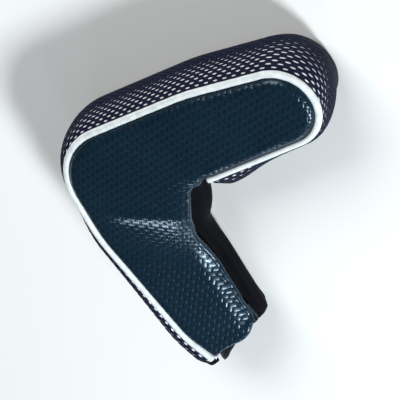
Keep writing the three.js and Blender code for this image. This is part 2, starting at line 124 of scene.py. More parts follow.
class Plan:
    """A plan curve sampled closely by arc length, with its direction and outward normal."""

    STEP = 0.2

    def __init__(self, points, side):
        self.side = side
        gaps = np.hypot(*np.diff(points, axis=0).T)
        self.length = gaps.sum()
        self.s = np.arange(0, self.length + self.STEP, self.STEP).clip(max=self.length)
        at = np.concatenate([[0], np.cumsum(gaps)])
        self.points = np.stack([np.interp(self.s, at, points[:, k]) for k in (0, 1)], 1)
        along = np.gradient(self.points, axis=0)
        self.along = along / np.hypot(*along.T)[:, None]

    def at(self, s):
        """Point, direction and outward normal at each s; past the ends it runs straight on."""
        s = np.asarray(s, float)
        inside = s.clip(0, self.length)
        point = np.stack([np.interp(inside, self.s, self.points[:, k]) for k in (0, 1)], -1)
        along = np.stack([np.interp(inside, self.s, self.along[:, k]) for k in (0, 1)], -1)
        along /= np.linalg.norm(along, axis=-1, keepdims=True)
        point = point + along * (s - inside)[..., None]
        outward = np.stack([along[..., 1], -along[..., 0]], -1) * self.side
        return point, along, outward

    def distance(self, xy):
        """Distance from each plan point to the curve."""
        flat = xy.reshape(-1, 2)
        near = self.points[::2]
        found = np.empty(len(flat))
        for start in range(0, len(flat), 4000):
            part = flat[start:start + 4000]
            gap = (part[:, None, :] - near[None, :, :]) ** 2
            found[start:start + 4000] = np.sqrt(gap.sum(-1).min(1))
        return found.reshape(xy.shape[:-1])


def rounded(corners, step=0.1):
    """Points along straight runs joined by arcs, and the length at both ends of each arc."""
    points = [np.array(corners[0][:2], float)]
    marks = []
    length = 0.0
    for index in range(1, len(corners) - 1):
        corner = np.array(corners[index][:2], float)
        ahead = np.array(corners[index + 1][:2], float)
        radius = corners[index][2]
        arrive = (corner - points[-1]) / np.linalg.norm(corner - points[-1])
        leave = (ahead - corner) / np.linalg.norm(ahead - corner)
        turn = math.atan2(arrive[0] * leave[1] - arrive[1] * leave[0], arrive @ leave)
        start = corner - arrive * radius * math.tan(abs(turn) / 2)
        length += np.linalg.norm(start - points[-1])
        marks.append(length)
        centre = start + np.array([-arrive[1], arrive[0]]) * math.copysign(radius, turn)
        angle = math.atan2(*(start - centre)[::-1])
        count = max(2, int(abs(turn) * radius / step))
        for a in angle + turn * np.linspace(0, 1, count + 1):
            points.append(centre + radius * np.array([math.cos(a), math.sin(a)]))
        length += abs(turn) * radius
        marks.append(length)
    end = np.array(corners[-1][:2], float)
    marks.append(length + np.linalg.norm(end - points[-1]))
    points.append(end)
    return np.array(points), marks


SEAM_POINTS, SEAM_MARKS = rounded(SEAM_CORNERS)
EDGE_POINTS, EDGE_MARKS = rounded(EDGE_CORNERS)
SEAM = Plan(SEAM_POINTS, 1)
EDGE = Plan(EDGE_POINTS, -1)

# Places along the two curves, at the ends of their rounded corners.
TOE_START = SEAM_MARKS[0]
TOE_TIP = (SEAM_MARKS[1] + SEAM_MARKS[2]) / 2
TOE_END = SEAM_MARKS[3]
BLADE_BEND_END = SEAM_MARKS[5]
HEEL_START, HEEL_END = SEAM_MARKS[6:8]
NECK_START = SEAM_MARKS[9]
CORNER_START, CORNER_END = EDGE_MARKS[:2]

HINGE_POINT = SEAM.at(NECK_START)[0]
NECK_AXIS = SEAM.at(NECK_START)[1]
UNDERSIDE = TOE_TIP  # how far the inner side follows the seam before it takes to the free edge


def outer_side(s):
    """The L's outer side: from the toe tip round the heel to the mouth."""
    return SEAM.at(TOE_TIP + s)


def inner_side(s):
    """The L's inner side: from the toe tip by the inner corner, and down the free edge."""
    on_seam = SEAM.at(np.clip(TOE_TIP - s, 0, None))
    on_edge = EDGE.at(np.clip(s - UNDERSIDE, 0, None))
    leaves = (s > UNDERSIDE)[..., None]
    return [np.where(leaves, edge, seam) for seam, edge in zip(on_seam, on_edge)]


# Matching points of the two sides.
OUTER_KNOTS = np.array([0, TOE_END, HEEL_START - 40, HEEL_START, HEEL_END, NECK_START,
                        SEAM.length]) - np.array([0] + [TOE_TIP] * 6)
INNER_KNOTS = np.array([0, TOE_TIP - TOE_START, UNDERSIDE, UNDERSIDE + CORNER_START,
                        UNDERSIDE + CORNER_END, UNDERSIDE + CORNER_END + 12.3,
                        UNDERSIDE + EDGE.length])
RIB_KNOTS = (OUTER_KNOTS + INNER_KNOTS) / 2  # how far along the L each pair lies
NECK_RIB = RIB_KNOTS[5]
LAST_RIB = RIB_KNOTS[6]


def plan_grid(ribs, across, seam_inset, edge_inset, overhang):
    """Plan points of the L: a row for each rib, from the outer side (0) to the inner side (1)."""
    outer_s = np.interp(ribs, RIB_KNOTS, OUTER_KNOTS)
    inner_s = np.interp(ribs, RIB_KNOTS, INNER_KNOTS)
    outer, _, outer_out = outer_side(outer_s)
    inner, _, inner_out = inner_side(inner_s)
    leaving = smoothstep(inner_s, UNDERSIDE, UNDERSIDE + 9)[:, None]
    a = outer - outer_out * seam_inset
    b = inner - inner_out * (seam_inset + (edge_inset - seam_inset) * leaving)
    grid = a[:, None] + (b - a)[:, None] * across[None, :, None]
    progress = ((ribs - NECK_RIB) / (LAST_RIB - NECK_RIB)).clip(0)
    bow = MOUTH_BULGE * (across - MOUTH_RETURN * across ** 4) + overhang
    return grid + (progress ** 2)[:, None, None] * bow[None, :, None] * NECK_AXIS


# ------------------------------------------------------------------ heights of the panels

def crown(distance):
    """Rise of a panel's margin from under the piping to its flat middle."""
    short = (1 - (distance - SEAM_TUCK) / (ROLL_RADIUS - SEAM_TUCK)).clip(0, 1)
    return CROWN * np.sqrt(1 - short ** 2.2)


def fold_amount(xy):
    """0 on the blade and 1 where the neck has its full slope."""
    past = (xy - CREASE_POINT) @ np.array(CREASE_NORMAL)
    return smoothstep(past, *CREASE_SPAN)


def crease_ridge(xy):
    """The soft ridge where the padded blade ends and the neck folds down."""
    past = (xy - CREASE_POINT) @ np.array(CREASE_NORMAL)
    fade = smoothstep(SEAM.distance(xy), *RIDGE_FADE)
    return RIDGE * fade * np.exp(-((past - RIDGE_AT) / RIDGE_WIDTH) ** 2)


def front_height(xy):
    """Height of the front panel's outer face."""
    offset = xy - HINGE_POINT
    across = (offset[..., 1] * NECK_AXIS[0] - offset[..., 0] * NECK_AXIS[1]).clip(0)
    curl = (1 - EDGE.distance(xy) / EDGE_ROLL).clip(0)
    fold = fold_amount(xy)
    fall = NECK_SLOPE * across * fold - crease_ridge(xy)
    drop = EDGE_DROP * (BLADE_CURL + (1 - BLADE_CURL) * fold)
    return FRONT_SEAM_Z + crown(SEAM.distance(xy)) - fall - drop * curl ** 2


def back_height(xy):
    """Height of the back panel's outer face."""
    margin = np.minimum(SEAM.distance(xy), EDGE.distance(xy) + SEAM_TUCK)
    return BACK_SEAM_Z - crown(margin)


def weave(a, b):
    """Height, 0 to 1, of the embossing: staggered rounded cells, 2 long in a and 1 wide in b."""
    u = 2 * ((a / 2 + 0.5 * (np.floor(b) % 2)) % 1) - 1
    w = 2 * (b % 1) - 1
    return (1 - u ** 6) * (1 - ROW_DEPTH * w ** 4)


def weave_coordinates(xy):
    """Plan points as the a and b of weave()."""
    c, s = math.cos(WEAVE_ANGLE), math.sin(WEAVE_ANGLE)
    x, y = xy[..., 0], xy[..., 1]
    return np.stack([x * c + y * s, y * c - x * s], -1) / STRAND


# ------------------------------------------------------------------ meshes

FLAT_EDGE = 1e-6  # metres; shorter edges are taken out


def grid_normals(points):
    along = np.gradient(points, axis=0)
    across = np.gradient(points, axis=1)
    normal = np.cross(along, across)
    size = np.linalg.norm(normal, axis=-1, keepdims=True)
    return normal / np.maximum(size, 1e-9)


def new_object(name, vertices, faces, uv=None):
    """A smooth-shaded mesh from points in millimetres; uv holds one pair for each vertex."""
    mesh = bpy.data.meshes.new(name)
    mesh.from_pydata((np.asarray(vertices) * MM).tolist(), [], [list(f) for f in faces])
    mesh.validate()
    if uv is not None:
        layer = mesh.uv_layers.new(name="cloth")
        corners = np.empty(len(mesh.loops), np.int32)
        mesh.loops.foreach_get("vertex_index", corners)
        layer.data.foreach_set("uv", np.asarray(uv, np.float32)[corners].ravel())
    mesh.shade_smooth()
    obj = bpy.data.objects.new(name, mesh)
    bpy.context.scene.collection.objects.link(obj)
    return obj


def grid_faces(rows, columns, wraps=False, flip=False):
    """Quads of a grid of vertices; with wraps the last column joins the first."""
    index = np.arange(rows * columns).reshape(rows, columns)
    if wraps:
        index = np.concatenate([index, index[:, :1]], 1)
    quads = [index[:-1, :-1], index[1:, :-1], index[1:, 1:], index[:-1, 1:]]
    faces = np.stack([q.ravel() for q in quads], 1)
    return faces[:, ::-1] if flip else faces


def sheet_object(name, points, uv, flip=False):
    rows, columns = points.shape[:2]
    faces = grid_faces(rows, columns, flip=flip)
    return new_object(name, points.reshape(-1, 3), faces, uv.reshape(-1, 2))


def tube_object(name, rings, uv):
    """A tube through rings of points, each a closed loop, with flat ends."""
    rows, columns = rings.shape[:2]
    faces = grid_faces(rows, columns, wraps=True).tolist()
    faces.append(list(range(columns)))
    faces.append(list(range((rows - 1) * columns, rows * columns))[::-1])
    obj = new_object(name, rings.reshape(-1, 3), faces, uv.reshape(-1, 2))
    face_outward(obj)
    return obj


def face_outward(obj):
    bm = bmesh.new()
    bm.from_mesh(obj.data)
    bmesh.ops.recalc_face_normals(bm, faces=bm.faces)
    bm.to_mesh(obj.data)
    bm.free()


def weld(obj, millimetres):
    """Joins vertices that lie closer together than this."""
    bm = bmesh.new()
    bm.from_mesh(obj.data)
    bmesh.ops.remove_doubles(bm, verts=bm.verts, dist=millimetres * MM)
    bmesh.ops.dissolve_degenerate(bm, edges=bm.edges, dist=FLAT_EDGE)
    bm.to_mesh(obj.data)
    bm.free()
    obj.data.shade_smooth()


# ------------------------------------------------------------------ materials

class Value:
    """A number inside a node tree, with arithmetic that adds Math nodes."""

    def __init__(self, tree, socket):
        self.tree = tree
        self.socket = socket

    def math(self, operation, *others):
        node = self.tree.nodes.new("ShaderNodeMath")
        node.operation = operation
        for slot, item in enumerate((self, *others)):
            if isinstance(item, Value):
                self.tree.links.new(item.socket, node.inputs[slot])
            else:
                node.inputs[slot].default_value = item
        return Value(self.tree, node.outputs[0])

    def __add__(self, other):
        return self.math("ADD", other)

    def __sub__(self, other):
        return self.math("SUBTRACT", other)

    def __mul__(self, other):
        return self.math("MULTIPLY", other)

    def __mod__(self, other):
        return self.math("FLOORED_MODULO", other)

    def __pow__(self, other):
        return self.math("POWER", other)


class Paint:
    """A material with a Principled shader and the helpers that its recipe needs."""

    def __init__(self, name, roughness, specular=0.5, **sockets):
        self.material = bpy.data.materials.new(name)
        self.material.use_nodes = True
        self.tree = self.material.node_tree
        self.shader = self.tree.nodes["Principled BSDF"]
        self.set("Roughness", roughness)
        self.set("Specular IOR Level", specular)
        for key, value in sockets.items():
            self.set(key.replace("_", " "), value)

    def set(self, socket, value):
        self.shader.inputs[socket].default_value = value

    def uv(self):
        node = self.tree.nodes.new("ShaderNodeUVMap")
        node.uv_map = "cloth"
        return node.outputs[0]

    def split(self, vector):
        node = self.tree.nodes.new("ShaderNodeSeparateXYZ")
        self.tree.links.new(vector, node.inputs[0])
        return Value(self.tree, node.outputs[0]), Value(self.tree, node.outputs[1])

    def noise(self, scale, detail=3.0, roughness=0.5):
        """Noise from 0 to 1 over the cloth's own coordinates."""
        node = self.tree.nodes.new("ShaderNodeTexNoise")
        node.inputs["Scale"].default_value = scale
        node.inputs["Detail"].default_value = detail
        node.inputs["Roughness"].default_value = roughness
        self.tree.links.new(self.uv(), node.inputs["Vector"])
        return Value(self.tree, node.outputs[0])

    def voronoi(self, scale):
        node = self.tree.nodes.new("ShaderNodeTexVoronoi")
        node.inputs["Scale"].default_value = scale
        self.tree.links.new(self.uv(), node.inputs["Vector"])
        return Value(self.tree, node.outputs["Distance"])

    def ramp(self, value, stops):
        """A colour that runs through stops, each (place, (r, g, b)) in sRGB from 0 to 255."""
        node = self.tree.nodes.new("ShaderNodeValToRGB")
        elements = node.color_ramp.elements
        while len(elements) < len(stops):
            elements.new(0.5)
        for element, (place, colour) in zip(elements, stops):
            element.position = place
            element.color = (*linear(colour), 1)
        self.tree.links.new(value.socket, node.inputs[0])
        return node.outputs[0]

    def colour(self, value, stops):
        self.tree.links.new(self.ramp(value, stops), self.shader.inputs["Base Color"])

    def vary(self, socket, value, low, high):
        """Runs a socket from low to high as value goes from 0 to 1."""
        node = self.tree.nodes.new("ShaderNodeMapRange")
        node.inputs["To Min"].default_value = low
        node.inputs["To Max"].default_value = high
        self.tree.links.new(value.socket, node.inputs["Value"])
        self.tree.links.new(node.outputs[0], self.shader.inputs[socket])

    def bump(self, value, millimetres):
        """Adds relief of this height on top of any bump already there."""
        node = self.tree.nodes.new("ShaderNodeBump")
        node.inputs["Strength"].default_value = 1.0
        node.inputs["Distance"].default_value = millimetres * MM
        self.tree.links.new(value.socket, node.inputs["Height"])
        if self.shader.inputs["Normal"].links:
            previous = self.shader.inputs["Normal"].links[0].from_socket
            self.tree.links.new(previous, node.inputs["Normal"])
        self.tree.links.new(node.outputs[0], self.shader.inputs["Normal"])


def linear(colour):
    """An sRGB colour, 0 to 255, as linear values from 0 to 1."""
    values = np.array(colour, float) / 255
    return np.where(values <= 0.04045, values / 12.92, ((values + 0.055) / 1.055) ** 2.4).tolist()


def weave_value(paint):
    """The embossing's height inside a material, from the same formula as weave()."""
    a, b = paint.split(paint.uv())
    shift = (b.math("FLOOR") % 2.0) * 0.5
    u = ((a * 0.5 + shift) % 1.0) * 2.0 - 1.0
    w = (b % 1.0) * 2.0 - 1.0
    ends = (u * u) ** 3.0 * -1.0 + 1.0
    return ends * ((w * w) ** 2.0 * -ROW_DEPTH + 1.0)


def leather():
    paint = Paint("embossed_leather", 0.3, specular=0.38)
    paint.set("Specular Tint", (0.62, 0.83, 1.0, 1))
    height = weave_value(paint)
    cloudy = paint.noise(0.08, 3)
    # Painted shade and light: the colour darkens down into the embossing's grooves and lightens on
    # its raised cells, from the same height as the bump; the cloudy noise adds a tone that varies at
    # random.
    paint.colour(height * 0.7 + cloudy * 0.5, [
        (0.1, (2, 7, 14)), (0.55, (8, 24, 36)), (1.0, (16, 36, 49)),
    ])
    paint.vary("Roughness", paint.noise(0.35, 4) * 0.7 + height * 0.3, 0.36, 0.2)
    paint.bump(height, 0.05)
    paint.bump(paint.noise(9.0, 4, 0.6), 0.008)
    return paint.material


def piping_vinyl():
    paint = Paint("piping_vinyl", 0.42, specular=0.5, Coat_Weight=0.1, Coat_Roughness=0.3)
    paint.colour(paint.noise(0.25, 4), [
        (0.3, (204, 212, 214)), (0.6, (226, 232, 232)), (1.0, (236, 241, 240)),
    ])
    paint.vary("Roughness", paint.noise(1.4, 3), 0.5, 0.34)
    paint.bump(paint.noise(2.2, 5, 0.6), 0.03)
    return paint.material


def dark_piping():
    paint = Paint("dark_piping", 0.45, specular=0.3)
    paint.colour(paint.noise(0.25, 4), [(0.3, (6, 10, 22)), (1.0, (14, 22, 40))])
    paint.bump(paint.noise(2.2, 5, 0.6), 0.03)
    return paint.material


def mesh_knit():
    paint = Paint("sports_mesh", 0.6, specular=0.18)
    paint.colour(paint.noise(0.5, 3), [
        (0.3, (3, 8, 31)), (0.7, (8, 17, 48)), (1.0, (17, 30, 66)),
    ])
    u, v = paint.split(paint.uv())
    ribs = (u * 9.0 + v * 5.0).math("SINE")
    paint.bump(ribs, 0.05)
    paint.bump(paint.noise(6.0, 3), 0.03)
    return paint.material


def white_backing():
    paint = Paint("mesh_backing", 0.85, specular=0.3, Sheen_Weight=0.1, Sheen_Roughness=0.6)
    paint.colour(paint.noise(0.8, 3), [(0.2, (238, 240, 248)), (0.8, (252, 253, 255))])
    u, v = paint.split(paint.uv())
    knit = (u * 12.0).math("SINE") * (v * 12.0).math("SINE")
    paint.bump(knit, 0.05)
    return paint.material


def band_fabric():
    paint = Paint("smooth_fabric", 0.75, specular=0.1)
    paint.colour(paint.noise(0.3, 4), [(0.2, (1, 2, 6)), (0.7, (3, 6, 13)), (1.0, (7, 11, 20))])
    u, v = paint.split(paint.uv())
    twill = ((u + v) * 8.0).math("SINE")
    paint.bump(twill, 0.03)
    paint.bump(paint.noise(3.0, 4), 0.05)
    return paint.material


def plush():
    paint = Paint("plush_lining", 0.95, specular=0.2, Sheen_Weight=0.35, Sheen_Roughness=0.4)
    paint.colour(paint.noise(1.2, 5, 0.7), [
        (0.3, (6, 7, 12)), (0.7, (17, 20, 28)), (1.0, (32, 36, 46)),
    ])
    paint.bump(paint.noise(4.0, 5, 0.7), 0.35)
    return paint.material


def foam():
    paint = Paint("foam", 0.95, specular=0.2)
    paint.colour(paint.noise(2.0, 3), [(0.3, (196, 192, 178)), (0.8, (224, 221, 210))])
    paint.bump(paint.voronoi(1.5), 0.3)
    return paint.material


def tape_fabric():
    paint = Paint("hook_and_loop", 0.8, specular=0.3, Sheen_Weight=0.2, Sheen_Roughness=0.5)
    paint.colour(paint.noise(2.5, 4), [(0.3, (8, 9, 12)), (0.8, (26, 28, 34))])
    paint.bump(paint.voronoi(1.8), 0.25)
    return paint.material


def thread_fibre():
    paint = Paint("sewing_thread", 0.5, specular=0.4, Sheen_Weight=0.2)
    u, v = paint.split(paint.uv())
    twist = ((u * 3.0) + v).math("SINE")
    # Painted shade and light: the colour follows the twist's bump, darker between the plies and
    # lighter on their crowns.
    paint.colour(twist * 0.5 + 0.5, [(0.2, (14, 20, 30)), (0.8, (42, 54, 70))])
    paint.bump(twist, 0.08)
    return paint.material


def floor_paint():
    paint = Paint("floor_paint", 0.7, specular=0.3)
    paint.set("Base Color", (0.80, 0.80, 0.78, 1))
    return paint.material


LEATHER = leather()
PIPING = piping_vinyl()
DARK_PIPING = dark_piping()
MESH = mesh_knit()
BACKING = white_backing()
BAND = band_fabric()
PLUSH = plush()
FOAM = foam()
TAPE_CLOTH = tape_fabric()
THREAD = thread_fibre()


def finish_piece(obj, material, replaced, fold=None):
    """Gives a piece its material and hides the imported nodes it stands for; with a fold its place
    is baked into its mesh, otherwise it joins the cover's body.
    """
    obj.data.materials.append(material)
    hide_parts(*replaced)
    if fold:
        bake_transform(obj)
    else:
        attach(obj, "cover_body")
    return obj


def in_metres(x, y, z):
    return (x * MM, y * MM, z * MM)


# The front folds open across the crease; the closure band folds out below its upper end. Each
# fold says which bodies it joins, and between which points.
FRONT_FOLD = ("cover_body", "front_flap", in_metres(22, -26, 30), in_metres(10, -88, 30))
BAND_FOLD = ("cover_body", "closure_flap", in_metres(31, -46, 10), in_metres(23, -86, 10))


# ------------------------------------------------------------------ front and back covers

CELL = 0.42  # spacing of the embossed sheets' points
WIDEST = 46.0  # of a panel, from side to side
RELIEF = 0.25  # depth of the embossing
RELIEF_MARGIN = (1.9, 3.4)  # it fades in over these distances from the seam
FRONT_EDGE_INSET = 0.6
HEM_RADIUS = 2.1
HEM_RUN = 8.0
HEM_CURL_STEPS = 8
HEM_RUN_STEPS = 6
SEWN_INSET = 0.5  # where an edge is sewn, its turned rows lie this far in
SEWN_DROP = 0.4  # and this far under


def rib_places(spacing):
    """Places along the L for a grid's rows."""
    return np.linspace(0.02, LAST_RIB, int(LAST_RIB / spacing) + 1)


def hem_profile():
    """Out, and down, from a turned edge: half a circle and then straight in underneath."""
    angles = np.linspace(0, math.pi, HEM_CURL_STEPS + 1)[1:]
    curl = [(HEM_RADIUS * math.sin(a), HEM_RADIUS * (1 - math.cos(a))) for a in angles]
    steps = range(1, HEM_RUN_STEPS + 1)
    flat = [(-HEM_RUN * k / HEM_RUN_STEPS, 2 * HEM_RADIUS) for k in steps]
    return np.array(curl + flat)


def turned_edge(edge, edge_uv, outward, free, sign, uv_step):
    """Rows that curl round an edge and back underneath, and their uv; free is 0 where it is sewn."""
    rows = []
    row_uvs = []
    for out, down in hem_profile():
        reach = out * free - (1 - free) * SEWN_INSET
        spot = edge.copy()
        spot[:, :2] += outward * reach[:, None]
        spot[:, 2] -= sign * (down * free + (1 - free) * SEWN_DROP)
        rows.append(spot)
        row_uvs.append(edge_uv + np.array(uv_step) * (down + abs(out)) / STRAND)
    return rows, row_uvs


def cover_sheet(name, height, sign, edge_inset, overhang, free_edge=False, mouth_cut=0.0):
    """An embossed cover: the L-shaped sheet with its relief, and its turned edges."""
    ribs = rib_places(CELL)
    across = np.linspace(0, 1, int(WIDEST / CELL))
    plan = plan_grid(ribs, across, SEAM_TUCK, edge_inset, overhang)
    near_mouth = smoothstep(ribs, LAST_RIB - MOUTH_CUT_RUN, LAST_RIB)[:, None]
    cut = mouth_cut * np.exp(-((across - MOUTH_CUT_AT) / MOUTH_CUT_WIDTH) ** 2)
    plan = plan - (near_mouth * cut)[..., None] * NECK_AXIS
    points = np.concatenate([plan, height(plan)[..., None]], -1)
    uv = weave_coordinates(plan)

    if free_edge:
        inner_s = np.interp(ribs, RIB_KNOTS, INNER_KNOTS)
        _, _, outward = inner_side(inner_s)
        free = smoothstep(inner_s, UNDERSIDE, UNDERSIDE + 6)
        rows, row_uvs = turned_edge(points[:, -1], uv[:, -1], outward, free, sign, (0.0, 1.0))
        points = np.concatenate([points, np.stack(rows, 1)], 1)
        uv = np.concatenate([uv, np.stack(row_uvs, 1)], 1)

    free = np.ones(points.shape[1])
    rows, row_uvs = turned_edge(points[-1], uv[-1], NECK_AXIS, free, sign, (0.0, -1.0))
    points = np.concatenate([points, np.stack(rows, 0)], 0)
    uv = np.concatenate([uv, np.stack(row_uvs, 0)], 0)

    relief = weave(uv[..., 0], uv[..., 1])
    margin = smoothstep(SEAM.distance(points[..., :2]), *RELIEF_MARGIN)
    normal = grid_normals(points)
    if normal[len(ribs) // 2, len(across) // 2, 2] * sign < 0:
        normal = -normal
    points = points + normal * ((relief - 1) * RELIEF * margin)[..., None]
    return sheet_object(name, points, uv, flip=sign < 0)


front_cover = cover_sheet("front_cover", front_height, 1, FRONT_EDGE_INSET, 0.0,
                          free_edge=True, mouth_cut=MOUTH_CUT)
finish_piece(front_cover, LEATHER,
             ["front_panel_blade", "front_panel_neck"], fold=FRONT_FOLD)

back_cover = cover_sheet("back_cover", back_height, -1, BACK_EDGE_INSET, BACK_OVERHANG)
finish_piece(back_cover, LEATHER, ["back_panel"])


# Each inner layer lies between two depths under its cover's outer face.
PADDING_DEPTHS = (1.0, 3.6)
PADDING_INSET = 4.5
LINING_DEPTHS = (4.5, 5.9)
FRONT_LINING_INSET = 3.0
BACK_LINING_INSET = 4.2
LINING_PEEK = 8.0  # the front lining shows by this much at the mouth's outer corner
LINING_PEEK_WIDTH = 0.34
LINING_PEEK_RUN = 25.0
LAYER_SPACING = 2.0  # of an inner layer's rows
LAYER_COLUMNS = 36
LAYER_REACH = 2.5  # it comes this much nearer to the free edge than to the seam


def inner_layer(name, height, sign, depths, inset, overhang, peek=0.0):
    """A padding or lining sheet with thickness, under a cover."""
    ribs = rib_places(LAYER_SPACING)[1:]
    across = np.linspace(0, 1, LAYER_COLUMNS)
    plan = plan_grid(ribs, across, inset, inset - LAYER_REACH, overhang)
    near_mouth = smoothstep(ribs, LAST_RIB - LINING_PEEK_RUN, LAST_RIB)[:, None]
    slack = peek * np.exp(-(across / LINING_PEEK_WIDTH) ** 2)
    plan = plan + (near_mouth * slack)[..., None] * NECK_AXIS
    z = height(plan)
    top, bottom = depths
    edge = 1 - (np.abs(across - 0.5) * 2) ** 16
    half = (bottom - top) / 2
    middle = (top + bottom) / 2
    rows = []
    for place, side in ((slice(None), -1), (slice(None, None, -1), 1)):
        depth = middle + side * half * edge
        rows.append(np.concatenate([plan, (z - sign * depth[None, :])[..., None]], -1)[:, place])
    uv = np.concatenate([plan, plan[:, ::-1]], 1)
    return tube_object(name, np.concatenate(rows, 1), uv)


front_padding = inner_layer("front_padding_sheet", front_height, 1, PADDING_DEPTHS,
                            PADDING_INSET, overhang=-3)
finish_piece(front_padding, FOAM,
             ["front_padding_blade", "front_padding_neck"], fold=FRONT_FOLD)

front_lining = inner_layer("front_lining_sheet", front_height, 1, LINING_DEPTHS,
                           FRONT_LINING_INSET, overhang=-2, peek=LINING_PEEK)
finish_piece(front_lining, PLUSH,
             ["front_lining_blade", "front_lining_neck"], fold=FRONT_FOLD)

back_padding = inner_layer("back_padding_sheet", back_height, -1, PADDING_DEPTHS,
                           PADDING_INSET, overhang=1)
finish_piece(back_padding, FOAM, ["back_padding"])

back_lining = inner_layer("back_lining_sheet", back_height, -1, LINING_DEPTHS,
                          BACK_LINING_INSET, overhang=2)
finish_piece(back_lining, PLUSH, ["back_lining"])


# ------------------------------------------------------------------ gusset

GUSSET_OVERHANG = 2.5  # past the seam's end, at the mouth
GUSSET_END = SEAM.length + GUSSET_OVERHANG
GUSSET_MIDDLE_Z = (BACK_SEAM_Z + FRONT_SEAM_Z) / 2
GUSSET_HALF = (FRONT_SEAM_Z - BACK_SEAM_Z) / 2 - PIPING_RADIUS * 0.55

# Of the knitted mesh: half sizes as shares of a cell, and depths of each ring of a cell.
HOLE = (0.25, 0.235)
LIP = (0.31, 0.33)
CELL_BORDER_DEPTH = 0.22
HOLE_RIM_DEPTH = 0.16
HOLE_FLOOR_DEPTH = 0.4
HOLE_JITTER = 0.012
RING = 12  # points in each ring

BACKING_DEPTH = 0.42
BACKING_THICKNESS = 2.6
GUSSET_LINING_DEPTH = 3.7
GUSSET_LINING_THICKNESS = 1.6


def gusset_section(count, depth, squareness):
    """Outward and upward parts of the gusset's section, evenly spaced along it, and its length."""
    angle = np.linspace(-math.pi / 2, math.pi / 2, 400)
    exponent = 2 / squareness
    out = np.cos(angle).clip(0) ** exponent
    rise = np.sign(angle) * np.abs(np.sin(angle)) ** exponent
    bulge = GUSSET_BULGE - depth
    half = GUSSET_HALF - depth
    gaps = np.hypot(np.diff(out * bulge), np.diff(rise * half))
    at = np.concatenate([[0], np.cumsum(gaps)])
    even = np.linspace(0, at[-1], count)
    return np.interp(even, at, out), np.interp(even, at, rise), at[-1]


def gusset_points(s, w, depth):
    """Points of the gusset: s along the seam in mm, w from 0 at the back seam to 1 at the front."""
    places = np.linspace(0, 1, 200)
    share = smoothstep(s, HEEL_END, NECK_START)
    soft_out, soft_rise, _ = gusset_section(200, depth, GUSSET_SQUARENESS)
    full_out, full_rise, _ = gusset_section(200, depth, NECK_SQUARENESS)
    out = np.interp(w, places, soft_out) * (1 - share) + np.interp(w, places, full_out) * share
    rise = np.interp(w, places, soft_rise) * (1 - share) + np.interp(w, places, full_rise) * share
    point, _, outward = SEAM.at(s)
    width = np.where(s > GUSSET_FLARE_AT, GUSSET_FLARE_END, GUSSET_FLARE_START)
    flare = GUSSET_FLARE * np.exp(-((s - GUSSET_FLARE_AT) / width) ** 2)
    down_neck = ((s - HEEL_END) / (SEAM.length - HEEL_END)).clip(0)
    swell = (HEEL_SWELL * smoothstep(s, HEEL_START, HEEL_END)
             + NECK_SWELL * down_neck ** NECK_SWELL_POWER)
    rounding = MOUTH_ROUNDING * smoothstep(s, GUSSET_END - MOUTH_ROUNDING_RUN, GUSSET_END) ** 2
    trim = TOE_TRIM * np.exp(-((s - TOE_TRIM_AT) / TOE_TRIM_RUN) ** 2)
    reach = out * (GUSSET_BULGE + flare + swell - rounding - trim - depth)
    height = GUSSET_MIDDLE_Z + rise * (GUSSET_HALF - depth)
    return np.concatenate([point + outward * reach[..., None], height[..., None]], -1)


def sports_mesh():
    """The knitted mesh: brick-like cells, each with an oval hole with rounded strands round it."""
    girth = gusset_section(10, 0, GUSSET_SQUARENESS)[2]
    rows = int(round(girth / HOLE_ROW))
    columns = int(round(GUSSET_END / HOLE_PITCH))
    pitch = GUSSET_END / columns
    border = np.array([(0, 0), (1, 0), (2, 0), (3, 0), (4, 0), (4, 1), (4, 2), (3, 2), (2, 2),
                       (1, 2), (0, 2), (0, 1)], float) / (4, 2) - 0.5
    angles = np.arctan2(border[:, 1] * 0.55, border[:, 0])
    oval = np.stack([np.cos(angles), np.sin(angles)], 1)
    hole = oval * HOLE
    lip = oval * LIP
    vertices = []
    faces = []
    uvs = []
    rng = np.random.default_rng(4)
    for row in range(rows):
        shift = 0.5 if row % 2 else 0.0
        for column in range(-1, columns + 1):
            centre = np.array([column + 0.5 + shift, row + 0.5])
            jitter = rng.normal(0, HOLE_JITTER, 2)
            rings = [(border, CELL_BORDER_DEPTH), (lip + jitter, 0.0),
                     (hole + jitter, HOLE_RIM_DEPTH), (hole + jitter, HOLE_FLOOR_DEPTH)]
            if (centre[0] - 0.5) * pitch > GUSSET_END or (centre[0] + 0.5) * pitch < 0:
                continue
            start = len(vertices) * RING
            for ring, depth in rings:
                spots = centre + ring
                s = (spots[:, 0] * pitch).clip(0, GUSSET_END)
                w = spots[:, 1] / rows
                vertices.append(gusset_points(s, w, depth))
                uvs.append(np.stack([s, w * girth], 1))
            for k in range(len(rings) - 1):
                a = start + RING * k
                b = a + RING
                for j in range(RING):
                    n = (j + 1) % RING
                    faces.append((a + j, a + n, b + n, b + j))
    obj = new_object("gusset_mesh_knit", np.concatenate(vertices), faces, np.concatenate(uvs))
    weld(obj, 0.02)
    return obj


finish_piece(sports_mesh(), MESH, ["gusset_mesh"])


def gusset_sheet(name, depth, thickness, material, node):
    """A layer with thickness behind the mesh, all the way round."""
    s = np.linspace(0, GUSSET_END - 0.5, 260)
    w = np.linspace(0, 1, 28)
    grid_s, grid_w = np.meshgrid(s, w, indexing="ij")
    outer = gusset_points(grid_s, grid_w, depth)
    inner = gusset_points(grid_s, grid_w, depth + thickness)[:, ::-1]
    rings = np.concatenate([outer, inner], 1)
    uv = np.stack([grid_s, grid_w * 45], -1)
    obj = tube_object(name, rings, np.concatenate([uv, uv[:, ::-1]], 1))
    return finish_piece(obj, material, [node])


gusset_backing = gusset_sheet("gusset_foam_backing", BACKING_DEPTH, BACKING_THICKNESS, BACKING,
                              "gusset_backing")
gusset_sheet("gusset_plush", GUSSET_LINING_DEPTH, GUSSET_LINING_THICKNESS, PLUSH,
             "gusset_lining")


# ------------------------------------------------------------------ piping and threads

